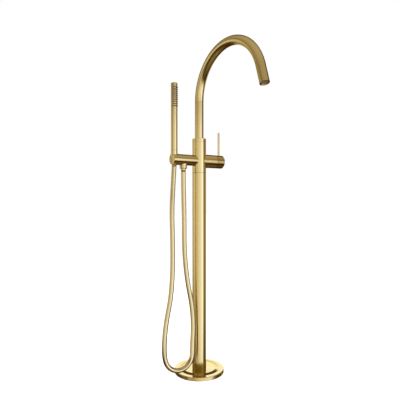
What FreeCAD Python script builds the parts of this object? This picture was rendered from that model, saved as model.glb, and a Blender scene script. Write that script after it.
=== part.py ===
import FreeCAD, Part
import math
import os
import re

import Sketcher

# A floor standing bath filler: a round column on a floor plate, a gooseneck spout that swivels,
# a single lever mixer on the right and a stick handset on a holder arm on the left.
# Frame: +Z up, the origin on the floor at the column's axis, the spout towards -Y,
# the handset towards -X and the lever towards +X.

# Driving dimensions, in millimetres, degrees and counts.
SIZES = {
    # clearances
    "running_fit": 0.08,
    "body_gap": 0.3,
    "seam_chamfer": 0.5,
    # floor flange and hub, hidden under the cover
    "flange_dia": 115.0,
    "flange_thick": 6.0,
    "hub_height": 70.0,
    "hub_wall": 3.5,
    "bolt_circle": 90.0,
    "bolt_hole_dia": 9.0,
    "bolt_count": 4,
    # round cover over the flange
    "cover_dia": 160.0,
    "cover_height": 14.0,
    "cover_wall": 2.0,
    "cover_flat_dia": 108.0,
    "cover_brim_dia": 130.0,
    "cover_bevel": 2.5,
    "cover_edge": 1.6,
    "cover_clearance": 0.2,
    "cover_seal_thick": 3.0,
    # column
    "column_dia": 45.0,
    "column_wall": 2.0,
    "grub_dia": 5.0,
    "grub_count": 3,
    "grub_height": 10.0,
    "grub_length": 4.2,
    "grub_inset": 0.4,
    "neck_screw_drop": 11.0,
    # supply pipes inside the column
    "pipe_dia": 10.0,
    "pipe_wall": 1.0,
    "pipe_spacing": 16.6,
    "tail_nut_width": 14.0,
    "tail_nut_length": 14.0,
    "tail_nut_lift": 2.0,
    "tail_thread_dia": 9.0,
    "tail_thread_depth": 9.0,
    # mixer body
    "body_height": 100.5,
    "body_foot_drop": 40.0,
    "spigot_depth": 22.0,
    "arm_height": 690.0,
    "housing_dia": 44.0,
    "housing_reach": 60.5,
    "riser_dia": 6.4,
    "passage_dia": 6.0,
    "drill_overrun": 1.0,
    "waterway_drop": 11.6,
    "socket_dia": 35.0,
    "socket_depth": 26.5,
    # ring nut and bush that hold the spout
    "ring_height": 11.0,
    "ring_thread_dia": 40.6,
    "ring_thread_height": 6.0,
    "ring_lip_dia": 30.0,
    # gooseneck spout
    "tube_dia": 28.5,
    "tube_wall": 1.5,
    "riser_height": 132.0,
    "bend_radius": 149.6,
    "bend_sweep": 163.4,
    "spout_drop": 53.7,
    "stub_flange": 17.0,
    "stub_plug": 24.0,
    "stub_bore_dia": 18.0,
    "oring_thick": 2.5,
    "oring_pitch": 7.0,
    # aerator in the spout's mouth
    "aerator_recess": 1.2,
    "aerator_length": 12.0,
    "aerator_wall": 2.0,
    "aerator_plate": 4.0,
    "aerator_hole_dia": 2.6,
    "aerator_hole_count": 8,
    "outer_jet_circle": 15.4,
    "inner_jet_circle": 8.2,
    # holder arm
    "arm_dia": 35.0,
    "arm_reach": 104.0,
    "arm_chamfer": 0.8,
    "arm_spigot_dia": 19.0,
    "arm_spigot_depth": 8.5,
    "arm_waterway_dia": 10.0,
    "plenum_length": 4.0,
    "plenum_wall": 1.2,
    "socket_overrun": 4.0,
    "outlet_reach": 61.5,
    "outlet_boss_dia": 24.0,
    "outlet_boss_drop": 19.6,
    "outlet_thread_dia": 20.8,
    "outlet_port_depth": 16.0,
    "seat_inset": 8.5,
    "slot_width": 17.0,
    "liner_wall": 1.2,
    # hose connection under the arm
    "hose_dia": 15.0,
    "nipple_bore_dia": 15.0,
    "nipple_length": 20.0,
    "valve_length": 14.0,
    "hose_nut_height": 8.6,
    "hose_nut_round": 3.0,
    "hose_nut_hole_dia": 16.6,
    "tail_collar_drop": 4.6,
    "hose_bore_dia": 8.0,
    "hose_end_gap": 1.0,
    # conical nut on the handset's end of the hose
    "cone_dia": 21.6,
    "cone_foot_dia": 16.6,
    "cone_taper": 33.0,
    "cone_lift": 10.5,
    "cone_foot_inset": 1.5,
    "cone_bore_dia": 14.8,
    "cone_thread_dia": 18.0,
    "cone_shoulder": 26.0,
    "cone_tail_flange": 3.0,
    "washer_thick": 2.0,
    # stick handset
    "handset_dia": 21.0,
    "handset_wall": 1.0,
    "handset_length": 212.0,
    "handset_cap_height": 10.0,
    "handset_cap_round": 1.6,
    "inlet_collar": 17.0,
    "nozzle_rows": 10,
    "nozzle_row_pitch": 6.4,
    "nozzle_columns": 4,
    "nozzle_angle_pitch": 32.0,
    "nozzle_dia": 2.5,
    "nozzle_hole_dia": 3.0,
    "nozzle_proud": 1.1,
    "nozzle_top_gap": 4.6,
    "mat_thick": 1.2,
    "mat_margin": 3.0,
    "inner_pipe_dia": 14.0,
    # mixer cartridge and lever
    "cartridge_dia": 35.0,
    "cartridge_seat": 26.0,
    "cartridge_length": 24.0,
    "cartridge_neck": 3.0,
    "cartridge_hole_depth": 6.0,
    "retainer_dia": 39.0,
    "retainer_hole_dia": 18.0,
    "retainer_length": 8.0,
    "stem_dia": 9.0,
    "stem_reach": 84.0,
    "knob_gap": 2.0,
    "knob_length": 28.2,
    "knob_chamfer": 1.0,
    "knob_wall": 2.4,
    "knob_cavity": 10.0,
    "trim_ring_wall": 4.0,
    "trim_ring_lap": 2.0,
    "pin_dia": 6.5,
    "pin_reach": 99.0,
    "pin_seat": 12.0,
    "pin_from_gap": 17.2,
    "knob_screw_dia": 5.0,
    "knob_screw_recess": 1.0,
    # diverter at the back of the body
    "spool_dia": 14.0,
    "spool_land": 6.6,
    "spool_core_dia": 6.0,
    "port_offset": 6.5,
    "port_dia": 5.6,
    "diverter_depth": 19.5,
    "bonnet_dia": 18.0,
    "bonnet_length": 5.0,
    "diverter_travel": 7.0,
    "diverter_knob_dia": 18.0,
    "diverter_knob_length": 12.0,
    "diverter_knob_gap": 1.0,
    "diverter_knob_round": 1.2,
}

# Lengths and places that follow from the driving dimensions.
DERIVED = {
    "column_r": "column_dia / 2",
    "column_bore_r": "column_r - column_wall",
    "hub_bore_r": "column_bore_r - hub_wall",
    "cover_r": "cover_dia / 2",
    "cover_inside_r": "cover_r - cover_wall",
    "cover_bore_r": "column_r + cover_clearance",
    "cover_ceiling": "cover_height - cover_wall",
    "cover_brim": "cover_height - cover_bevel",
    "column_top": "arm_height - body_foot_drop",
    "pipe_r": "pipe_dia / 2",
    "pipe_foot": "tail_nut_lift + tail_thread_depth",
    "pipe_head": "column_top - spigot_depth",
    "body_top": "column_top + body_height",
    "housing_r": "housing_dia / 2",
    "socket_r": "socket_dia / 2",
    "socket_floor": "body_top - socket_depth",
    "thread_top": "body_top + ring_thread_height",
    "ring_top": "body_top + ring_height",
    "tube_r": "tube_dia / 2",
    "tube_bore_r": "tube_r - tube_wall",
    "stub_foot": "socket_floor + body_gap",
    "stub_top": "stub_foot + stub_flange",
    "stub_r": "socket_r - running_fit",
    "oring_outer_r": "stub_r + running_fit / 2",
    "groove_r": "oring_outer_r - oring_thick",
    "groove_half": "oring_thick * 0.55",
    "lower_oring": "stub_foot + (stub_flange - oring_pitch) / 2",
    "upper_oring": "lower_oring + oring_pitch",
    "bend_start": "body_top + riser_height",
    "spout_reach": "bend_radius * (1 - cos(bend_sweep)) + spout_drop * sin(bend_sweep)",
    "spout_mouth": "bend_start + bend_radius * sin(bend_sweep) + spout_drop * cos(bend_sweep)",
    "aerator_r": "tube_bore_r",
    "insert_r": "aerator_r - aerator_wall",
    "arm_r": "arm_dia / 2",
    "arm_underside": "arm_height - arm_r",
    "seat_reach": "arm_reach - seat_inset",
    "boss_foot": "arm_height - outlet_boss_drop",
    "port_top": "boss_foot + outlet_port_depth",
    "nut_top": "boss_foot - body_gap",
    "nut_foot": "nut_top - hose_nut_height",
    "hose_exit": "nut_foot - tail_collar_drop",
    "nipple_top": "port_top",
    "nipple_foot": "nipple_top - nipple_length",
    "tail_top": "nipple_foot - washer_thick",
    "cone_r": "cone_dia / 2",
    "cone_foot_r": "cone_foot_dia / 2",
    "cone_top": "arm_height + arm_r + cone_lift",
    "cone_foot": "arm_underside + cone_foot_inset",
    "cone_shoulder_top": "cone_foot + cone_shoulder",
    "cone_slope": "(cone_r - cone_foot_r) / cone_taper",
    "washer_foot": "cone_shoulder_top + body_gap + cone_tail_flange",
    "inlet_foot": "washer_foot + washer_thick + body_gap",
    "handset_r": "handset_dia / 2",
    "handset_bore_r": "handset_r - handset_wall",
    "handset_top": "cone_top + handset_length",
    "handset_tube_top": "handset_top - handset_cap_height",
    "top_nozzle": "handset_tube_top - nozzle_top_gap",
    "nozzle_span": "nozzle_row_pitch * (nozzle_rows - 1)",
    "low_nozzle": "top_nozzle - nozzle_span",
    "fan_angle": "nozzle_angle_pitch * (nozzle_columns - 1)",
    "mat_foot": "low_nozzle - mat_margin",
    "mat_top": "top_nozzle + mat_margin",
    "cartridge_r": "cartridge_dia / 2",
    "cartridge_end": "cartridge_seat + cartridge_length",
    "cartridge_floor": "cartridge_end - cartridge_hole_depth",
    "retainer_r": "retainer_dia / 2",
    "retainer_end": "cartridge_end + retainer_length",
    "knob_start": "housing_reach + knob_gap",
    "knob_end": "knob_start + knob_length",
    "knob_cavity_r": "housing_r - knob_wall",
    "knob_floor": "knob_start + knob_cavity",
    "trim_ring_r": "knob_cavity_r - body_gap",
    "trim_ring_end": "knob_start + trim_ring_lap",
    "pin_place": "knob_start + pin_from_gap",
    "knob_screw_length": "housing_r - knob_screw_recess - stem_dia / 2",
    "spool_r": "spool_dia / 2 - running_fit",
    "knob_foot_y": "column_r + diverter_knob_gap",
    "knob_head_y": "knob_foot_y + diverter_knob_length",
}

doc = FreeCAD.newDocument("bath_filler")
sheet = doc.addObject("Spreadsheet::Sheet", "Sizes")
for row, (alias, number) in enumerate(SIZES.items(), start=1):
    sheet.set("A%d" % row, str(number))
    sheet.setAlias("A%d" % row, alias)
doc.recompute()

PARTS = {}


def bound(expression):
    """The expression with derived names written out and each alias looked up in the sheet."""

    def replace(word):
        name = word.group()
        if name in DERIVED:
            return "(" + bound(DERIVED[name]) + ")"
        if name in SIZES:
            return "Sizes." + name
        return name

    return re.sub(r"[a-z_]\w*", replace, str(expression))


def value(expression):
    """The expression's number at the present sizes."""
    return float(sheet.evalExpression(bound(expression)))


def bind(thing, prop, expression):
    thing.setExpression(prop, bound(expression))


def keep(name, thing):
    """Give a finished sub-part its name."""
    thing.Label = name
    PARTS[name] = thing
    return thing


def place(thing, x="0", y="0", z="0", turn=None):
    """Put a thing at bound coordinates; turn is an axis and an angle."""
    if turn:
        axis, angle = turn
        spin = FreeCAD.Rotation(FreeCAD.Vector(*axis), value(angle))
        thing.Placement = FreeCAD.Placement(FreeCAD.Vector(), spin)
        bind(thing, "Placement.Rotation.Angle", angle)
    for letter, expression in (("x", x), ("y", y), ("z", z)):
        bind(thing, "Placement.Base." + letter, expression)
    return thing


# ---------------------------------------------------------------- sketches and bodies

TURNS = {"X": ((0, 1, 0), "90"), "-X": ((0, 1, 0), "-90"), "Y": ((1, 0, 0), "-90"), "-Y": ((1, 0, 0), "90")}


def new_body(name):
    body = doc.addObject("PartDesign::Body", name)
    body.Label = name + "_body"
    return body


def new_sketch(body, plane, name):
    """A sketch on one of the body's own origin planes."""
    sketch = body.newObject("Sketcher::SketchObject", name)
    support = [feature for feature in body.Origin.OriginFeatures if feature.Role == plane]
    sketch.AttachmentSupport = [(support[0], "")]
    sketch.MapMode = "FlatFace"
    return sketch


def pin_point(sketch, line, end, x, y):
    """Tie one end of a line to bound coordinates."""
    for kind, axis_line, expression in (("DistanceX", -2, x), ("DistanceY", -1, y)):
        if expression == "0":
            sketch.addConstraint(Sketcher.Constraint("PointOnObject", line, end, axis_line))
        else:
            rule = Sketcher.Constraint(kind, -1, 1, line, end, value(expression))
            number = sketch.addConstraint(rule)
            bind(sketch, "Constraints[%d]" % number, expression)


def draw_outline(sketch, points):
    """A closed outline of straight lines through bound points."""
    spots = [FreeCAD.Vector(value(x), value(y), 0) for x, y in points]
    for start, end in zip(spots, spots[1:] + spots[:1]):
        sketch.addGeometry(Part.LineSegment(start, end), False)
    for line in range(len(points)):
        following = (line + 1) % len(points)
        sketch.addConstraint(Sketcher.Constraint("Coincident", line, 2, following, 1))
    for line, (x, y) in enumerate(points):
        pin_point(sketch, line, 1, x, y)


def draw_circle(sketch, x, y, radius):
    """A bound circle."""
    centre = FreeCAD.Vector(value(x), value(y), 0)
    up = FreeCAD.Vector(0, 0, 1)
    circle = sketch.addGeometry(Part.Circle(centre, up, value(radius)), False)
    number = sketch.addConstraint(Sketcher.Constraint("Radius", circle, value(radius)))
    bind(sketch, "Constraints[%d]" % number, radius)
    pin_point(sketch, circle, 3, x, y)


def turned(name, outline, axis="Z", sweep="360"):
    """A turned piece: an outline of (radius, place along the axis) spun round the axis."""
    body = new_body(name)
    plane = "YZ_Plane" if axis == "Y" else "XZ_Plane"
    sketch = new_sketch(body, plane, name + "_outline")
    points = outline if axis == "Z" else [(along, radius) for radius, along in outline]
    draw_outline(sketch, points)
    spun = body.newObject("PartDesign::Revolution", name + "_turned")
    spun.Profile = sketch
    spun.ReferenceAxis = (sketch, ["V_Axis" if axis == "Z" else "H_Axis"])
    spun.Midplane = True
    bind(spun, "Angle", sweep)
    return body


def tube_outline(inner, outer, low, high):
    return [(inner, low), (outer, low), (outer, high), (inner, high)]


def pocket(body, plane, x, y, radius, depth, name, reverse=False):
    """A round pocket cut from one of the body's origin planes."""
    sketch = new_sketch(body, plane, name + "_circle")
    draw_circle(sketch, x, y, radius)
    hole = body.newObject("PartDesign::Pocket", name)
    hole.Profile = sketch
    hole.Reversed = reverse
    bind(hole, "Length", depth)
    return hole


def around(body, feature, count, name, angle="360"):
    """Repeat a feature round the body's Z axis."""
    ring = body.newObject("PartDesign::PolarPattern", name)
    ring.Originals = [feature]
    ring.Axis = ([item for item in body.Origin.OriginFeatures if item.Role == "Z_Axis"][0], [""])
    bind(ring, "Angle", angle)
    bind(ring, "Occurrences", count)
    body.Tip = ring
    return ring


def grid(body, feature, name, rows, span, columns, fan):
    """Repeat a feature up the body and round its Z axis."""
    upright = [item for item in body.Origin.OriginFeatures if item.Role == "Z_Axis"][0]
    both = body.newObject("PartDesign::MultiTransform", name)
    both.Originals = [feature]
    line = doc.addObject("PartDesign::LinearPattern", name + "_rows")
    line.Direction = (upright, [""])
    bind(line, "Length", span)
    bind(line, "Occurrences", rows)
    ring = doc.addObject("PartDesign::PolarPattern", name + "_columns")
    ring.Axis = (upright, [""])
    bind(ring, "Angle", fan)
    bind(ring, "Occurrences", columns)
    body.addObject(line)
    body.addObject(ring)
    both.Transformations = [line, ring]
    body.Tip = both
    return both


def rim(shape, radius, height):
    """The name of the round edge of this radius at this height."""
    for number, edge in enumerate(shape.Edges, start=1):
        curve = edge.Curve
        if not isinstance(curve, Part.Circle) or abs(curve.Radius - radius) > 0.01:
            continue
        if abs(curve.Center.z - height) < 0.01:
            return "Edge%d" % number
    raise ValueError("no round edge of radius %.2f at %.2f" % (radius, height))


def round_rim(body, name, radius, height, size):
    """Round one circular edge of a turned piece."""
    doc.recompute()
    base = body.Tip
    edge = rim(base.Shape, value(radius), value(height))
    fillet = body.newObject("PartDesign::Fillet", name)
    fillet.Base = (base, [edge])
    bind(fillet, "Radius", size)
    return fillet


# ---------------------------------------------------------------- primitives and booleans


def cylinder(name, radius, length, x="0", y="0", z="0", along="Z"):
    rod = doc.addObject("Part::Cylinder", name)
    bind(rod, "Radius", radius)
    bind(rod, "Height", length)
    return place(rod, x, y, z, TURNS.get(along))


def cone(name, low_radius, high_radius, length, x, y, z):
    taper = doc.addObject("Part::Cone", name)
    bind(taper, "Radius1", low_radius)
    bind(taper, "Radius2", high_radius)
    bind(taper, "Height", length)
    return place(taper, x, y, z)


def box(name, length, width, height, x, y, z):
    block = doc.addObject("Part::Box", name)
    bind(block, "Length", length)
    bind(block, "Width", width)
    bind(block, "Height", height)
    return place(block, x, y, z)


def joined(name, *things):
    union = doc.addObject("Part::MultiFuse", name)
    union.Shapes = list(things)
    return union


def cut(name, base, *tools):
    """The base less every tool."""
    result = doc.addObject("Part::Cut", name)
    result.Base = base
    result.Tool = tools[0] if len(tools) == 1 else joined(name + "_tools", *tools)
    return result


def group(name, things):
    """Separate solids that share one node."""
    bundle = doc.addObject("Part::Compound", name)
    bundle.Links = list(things)
    return bundle


# ---------------------------------------------------------------- floor flange and cover


def floor_base():
    """The flange that is bolted to the floor and the hub, welded into it, that carries the column."""
    flange = turned("floor_base", tube_outline("column_bore_r", "flange_dia / 2", "0", "flange_thick"))
    doc.recompute()
    hole = pocket(
        flange, "XY_Plane", "bolt_circle / 2", "0", "bolt_hole_dia / 2", "flange_thick", "bolt_hole", True
    )
    around(flange, hole, "bolt_count", "bolt_holes")
    keep("floor_base", flange)
    hub = turned("column_hub", tube_outline("hub_bore_r", "column_bore_r", "0", "hub_height"))
    doc.recompute()
    keep("column_hub", screw_holes(hub, "hub"))


def screw_holes(body, name):
    """Radial holes for the grub screws that lock the column on its hub."""
    hole = pocket(body, "XZ_Plane", "0", "grub_height", "grub_dia / 2", "column_dia", name + "_screw_hole")
    around(body, hole, "grub_count", name + "_screw_holes")
    return body


def column_grub_screws():
    """Three grub screws through the column into its hub, hidden by the cover."""
    screws = []
    for number in range(SIZES["grub_count"]):
        bearing = 90 + 360 * number / SIZES["grub_count"]
        screw = cylinder("grub_screw_%d" % number, "grub_dia / 2", "grub_length")
        outward = FreeCAD.Rotation(FreeCAD.Vector(0, 0, 1), bearing)
        lay_down = FreeCAD.Rotation(FreeCAD.Vector(0, 1, 0), -90)
        screw.Placement = FreeCAD.Placement(FreeCAD.Vector(), outward.multiply(lay_down))
        for letter, share in (("x", math.cos), ("y", math.sin)):
            reach = "(column_r - grub_inset) * %.9f" % share(math.radians(bearing))
            bind(screw, "Placement.Base." + letter, reach)
        bind(screw, "Placement.Base.z", "grub_height")
        screws.append(screw)
    keep("column_grub_screws", group("column_grub_screws", screws))


def floor_cover():
    """The pressed cover: a raised middle, a shallow bevel, a flat brim and a rounded edge."""
    outline = [
        ("cover_bore_r", "cover_ceiling"),
        ("cover_flat_dia / 2", "cover_ceiling"),
        ("cover_brim_dia / 2", "cover_brim - cover_wall"),
        ("cover_inside_r", "cover_brim - cover_wall"),
        ("cover_inside_r", "0"),
        ("cover_r", "0"),
        ("cover_r", "cover_brim"),
        ("cover_brim_dia / 2", "cover_brim"),
        ("cover_flat_dia / 2", "cover_height"),
        ("cover_bore_r", "cover_height"),
    ]
    body = turned("floor_cover", outline)
    round_rim(body, "cover_rounding", "cover_r", "cover_brim", "cover_edge")
    keep("floor_cover", body)
    seal = tube_outline(
        "column_r", "column_r + cover_seal_thick", "cover_ceiling - cover_seal_thick", "cover_ceiling"
    )
    keep("cover_seal", turned("cover_seal", seal))


# ---------------------------------------------------------------- column and supply pipes


def column_tube():
    low, high = "flange_thick", "column_top"
    outline = [
        ("column_bore_r", low),
        ("column_r", low),
        ("column_r", high + " - seam_chamfer"),
        ("column_r - seam_chamfer", high),
        ("column_bore_r", high),
    ]
    body = turned("column_tube", outline)
    doc.recompute()
    screw_holes(body, "column")
    pocket(
        body, "XZ_Plane", "0", "column_top - neck_screw_drop", "grub_dia / 2", "column_dia", "neck_screw_hole"
    )
    keep("column_tube", body)
    screw = cylinder(
        "neck_screw",
        "grub_dia / 2",
        "grub_length",
        y="column_r - grub_inset - grub_length",
        z="column_top - neck_screw_drop",
        along="Y",
    )
    keep("neck_grub_screw", screw)


def supply_pipe(name, side):
    """One supply pipe with the union nut that takes a flexible tail from the floor."""
    across = "%s * pipe_spacing / 2" % side
    pipe = turned(name + "_pipe", tube_outline("pipe_r - pipe_wall", "pipe_r", "pipe_foot", "pipe_head"))
    keep(name + "_pipe", place(pipe, y=across))
    hexagon = doc.addObject("Part::Prism", name + "_hexagon")
    hexagon.Polygon = 6
    bind(hexagon, "Circumradius", "tail_nut_width / 2 / cos(30)")
    bind(hexagon, "Height", "tail_nut_length")
    place(hexagon, y=across, z="tail_nut_lift")
    thread = cylinder(name + "_thread", "tail_thread_dia / 2", "tail_nut_length", y=across, z="tail_nut_lift")
    socket = cylinder(name + "_socket", "pipe_r", "tail_nut_length", y=across, z="pipe_foot")
    keep(name + "_tail_nut", cut(name + "_tail_nut", hexagon, thread, socket))


# ---------------------------------------------------------------- mixer body


def mixer_body():
    """The cast body: barrel, lower spigot, threaded top and cartridge housing, with its waterways."""
    solid = joined(
        "body_solid",
        cylinder("barrel", "column_r", "body_height", z="column_top"),
        cylinder("body_spigot", "column_bore_r", "spigot_depth", z="column_top - spigot_depth"),
        cylinder("ring_thread", "ring_thread_dia / 2", "ring_thread_height", z="body_top"),
        cylinder("housing", "housing_r", "housing_reach", z="arm_height", along="X"),
    )
    passage_z = "arm_height - waterway_drop"
    hollows = [
        cylinder("spout_socket", "socket_r", "socket_depth + ring_thread_height", z="socket_floor"),
        cylinder(
            "cartridge_bore",
            "cartridge_r",
            "housing_reach - cartridge_seat",
            x="cartridge_seat",
            z="arm_height",
            along="X",
        ),
        cylinder(
            "retainer_bore",
            "retainer_r",
            "housing_reach - cartridge_end",
            x="cartridge_end",
            z="arm_height",
            along="X",
        ),
        cylinder(
            "diverter_bore",
            "spool_dia / 2",
            "column_dia",
            y="-diverter_depth",
            z="arm_height",
            along="Y",
        ),
        cylinder(
            "bonnet_bore",
            "bonnet_dia / 2",
            "bonnet_length",
            y="column_r - bonnet_length",
            z="arm_height",
            along="Y",
        ),
        cylinder("mixed_port", "port_dia / 2", "cartridge_seat + drill_overrun", z="arm_height", along="X"),
        cylinder(
            "spout_port",
            "port_dia / 2",
            "socket_floor - arm_height + drill_overrun",
            y="-port_offset",
            z="arm_height",
        ),
        cylinder(
            "arm_port",
            "port_dia / 2",
            "column_r - arm_spigot_depth + drill_overrun",
            y="port_offset",
            z="arm_height",
            along="-X",
        ),
        cylinder(
            "arm_socket",
            "arm_spigot_dia / 2",
            "arm_spigot_depth + socket_overrun",
            x="-column_r + arm_spigot_depth",
            z="arm_height",
            along="-X",
        ),
    ]
    for side, sign in (("hot", "1"), ("cold", "-1")):
        across = sign + " * pipe_spacing / 2"
        hollows.append(
            cylinder(
                side + "_riser",
                "riser_dia / 2",
                passage_z + " - pipe_head + drill_overrun",
                y=across,
                z="pipe_head",
            )
        )
        hollows.append(
            cylinder(
                side + "_passage",
                "passage_dia / 2",
                "cartridge_seat + drill_overrun * 2",
                x="-drill_overrun",
                y=across,
                z=passage_z,
                along="X",
            )
        )
    hollows.append(
        cylinder(
            "neck_screw_pit",
            "grub_dia / 2",
            "grub_length",
            y="column_r - grub_inset - grub_length",
            z="column_top - neck_screw_drop",
            along="Y",
        )
    )
    keep("mixer_body", cut("mixer_body", solid, *hollows))


def cartridge_set():
    """The ceramic cartridge, the threaded ring that holds it and the trim ring round them."""
    cartridge = turned(
        "cartridge",
        [
            ("0", "cartridge_seat"),
            ("cartridge_r", "cartridge_seat"),
            ("cartridge_r", "cartridge_end"),
            ("retainer_hole_dia / 2", "cartridge_end"),
            ("retainer_hole_dia / 2", "cartridge_end + cartridge_neck"),
            ("stem_dia / 2 + running_fit", "cartridge_end + cartridge_neck"),
            ("stem_dia / 2 + running_fit", "cartridge_floor"),
            ("0", "cartridge_floor"),
        ],
        axis="X",
    )
    keep("cartridge", place(cartridge, z="arm_height"))
    retainer = turned(
        "cartridge_retainer",
        tube_outline("retainer_hole_dia / 2", "retainer_r", "cartridge_end", "retainer_end"),
        axis="X",
    )
    keep("cartridge_retainer", place(retainer, z="arm_height"))
    trim = turned(
        "trim_ring",
        [
            ("trim_ring_r - trim_ring_wall", "retainer_end"),
            ("trim_ring_r", "retainer_end"),
            ("trim_ring_r", "trim_ring_end"),
            ("trim_ring_r - trim_ring_wall", "trim_ring_end"),
        ],
        axis="X",
    )
    keep("trim_ring", place(trim, z="arm_height"))


# ---------------------------------------------------------------- lever


def mixer_lever():
    """The knob with its upright pin, the stem that it turns and the grub screw between them."""
    stem_r = "stem_dia / 2"
    knob = turned(
        "mixer_knob",
        [
            ("knob_cavity_r", "knob_start"),
            ("housing_r - seam_chamfer", "knob_start"),
            ("housing_r", "knob_start + seam_chamfer"),
            ("housing_r", "knob_end - knob_chamfer"),
            ("housing_r - knob_chamfer", "knob_end"),
            ("0", "knob_end"),
            ("0", "stem_reach"),
            (stem_r, "stem_reach"),
            (stem_r, "knob_floor"),
            ("knob_cavity_r", "knob_floor"),
        ],
        axis="X",
    )
    place(knob, z="arm_height")
    pin_base = "arm_height + housing_r - pin_seat"
    pin_hole = cylinder("pin_hole", "pin_dia / 2", "pin_seat + drill_overrun", x="pin_place", z=pin_base)
    underside = "arm_height - housing_r"
    screw_hole = cylinder(
        "knob_screw_hole",
        "knob_screw_dia / 2",
        "knob_screw_length + knob_screw_recess * 2",
        x="pin_place",
        z=underside + " - knob_screw_recess",
    )
    keep("mixer_knob", cut("mixer_knob", knob, pin_hole, screw_hole))
    pin_length = "pin_reach - housing_r + pin_seat"
    pin = turned(
        "lever_pin",
        [
            ("0", "0"),
            ("pin_dia / 2", "0"),
            ("pin_dia / 2", pin_length + " - seam_chamfer"),
            ("pin_dia / 2 - seam_chamfer", pin_length),
            ("0", pin_length),
        ],
    )
    keep("lever_pin", place(pin, x="pin_place", z=pin_base))
    screw = cylinder(
        "knob_screw",
        "knob_screw_dia / 2",
        "knob_screw_length",
        x="pin_place",
        z=underside + " + knob_screw_recess",
    )
    keep("knob_grub_screw", screw)
    stem = turned(
        "cartridge_stem",
        [
            ("0", "cartridge_floor + body_gap"),
            (stem_r, "cartridge_floor + body_gap"),
            (stem_r, "stem_reach"),
            ("0", "stem_reach"),
        ],
        axis="X",
    )
    keep("cartridge_stem", place(stem, z="arm_height"))


# ---------------------------------------------------------------- diverter


def diverter():
    """A pull diverter: a spool with two lands, its bonnet and the knob at the back."""
    arm_land = ("port_offset - spool_land / 2", "port_offset + spool_land / 2")
    spout_land = (
        "-port_offset - diverter_travel - spool_land / 2",
        "-port_offset - diverter_travel + spool_land / 2",
    )
    core_r = "spool_core_dia / 2"
    spool = turned(
        "diverter_spool",
        [
            ("0", spout_land[0]),
            ("spool_r", spout_land[0]),
            ("spool_r", spout_land[1]),
            (core_r, spout_land[1]),
            (core_r, arm_land[0]),
            ("spool_r", arm_land[0]),
            ("spool_r", arm_land[1]),
            (core_r, arm_land[1]),
            (core_r, "knob_foot_y"),
            ("0", "knob_foot_y"),
        ],
        axis="Y",
    )
    keep("diverter_spool", place(spool, z="arm_height"))
    bonnet = turned(
        "diverter_bonnet",
        tube_outline(core_r + " + running_fit", "bonnet_dia / 2", "column_r - bonnet_length", "column_r"),
        axis="Y",
    )
    keep("diverter_bonnet", place(bonnet, z="arm_height"))
    knob_r = "diverter_knob_dia / 2"
    knob = turned(
        "diverter_knob",
        [
            ("0", "knob_foot_y"),
            (knob_r + " - seam_chamfer", "knob_foot_y"),
            (knob_r, "knob_foot_y + seam_chamfer"),
            (knob_r, "knob_head_y - diverter_knob_round"),
            (knob_r + " - diverter_knob_round", "knob_head_y"),
            ("0", "knob_head_y"),
        ],
        axis="Y",
    )
    keep("diverter_knob", place(knob, z="arm_height"))


# ---------------------------------------------------------------- spout


def spout_collar():
    """The ring nut on top of the body and the plastic bush that guides the spout."""
    ring = turned(
        "spout_ring",
        [
            ("ring_thread_dia / 2", "body_top"),
            ("column_r - seam_chamfer", "body_top"),
            ("column_r", "body_top + seam_chamfer"),
            ("column_r", "ring_top - seam_chamfer"),
            ("column_r - seam_chamfer", "ring_top"),
            ("ring_lip_dia / 2", "ring_top"),
            ("ring_lip_dia / 2", "thread_top"),
            ("ring_thread_dia / 2", "thread_top"),
        ],
    )
    keep("spout_ring", ring)
    bush = turned(
        "spout_bush",
        tube_outline("tube_r + running_fit", "socket_r", "stub_top + body_gap", "thread_top"),
    )
    keep("spout_bush", bush)


def spout_stub():
    """The turned end of the spout, with two square rings that seal it and let it swivel."""
    outline = [("stub_bore_dia / 2", "stub_foot"), ("stub_r", "stub_foot")]
    for ring in ("lower_oring", "upper_oring"):
        outline += [
            ("stub_r", ring + " - groove_half"),
            ("groove_r", ring + " - groove_half"),
            ("groove_r", ring + " + groove_half"),
            ("stub_r", ring + " + groove_half"),
        ]
    outline += [
        ("stub_r", "stub_top"),
        ("tube_bore_r", "stub_top"),
        ("tube_bore_r", "stub_top + stub_plug"),
        ("stub_bore_dia / 2", "stub_top + stub_plug"),
    ]
    keep("spout_stub", turned("spout_stub", outline))
    rings = []
    for ring in ("lower_oring", "upper_oring"):
        low, high = ring + " - oring_thick / 2", ring + " + oring_thick / 2"
        rings.append(turned(ring, tube_outline("groove_r", "oring_outer_r", low, high)))
    keep("spout_orings", group("spout_orings", rings))


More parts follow.
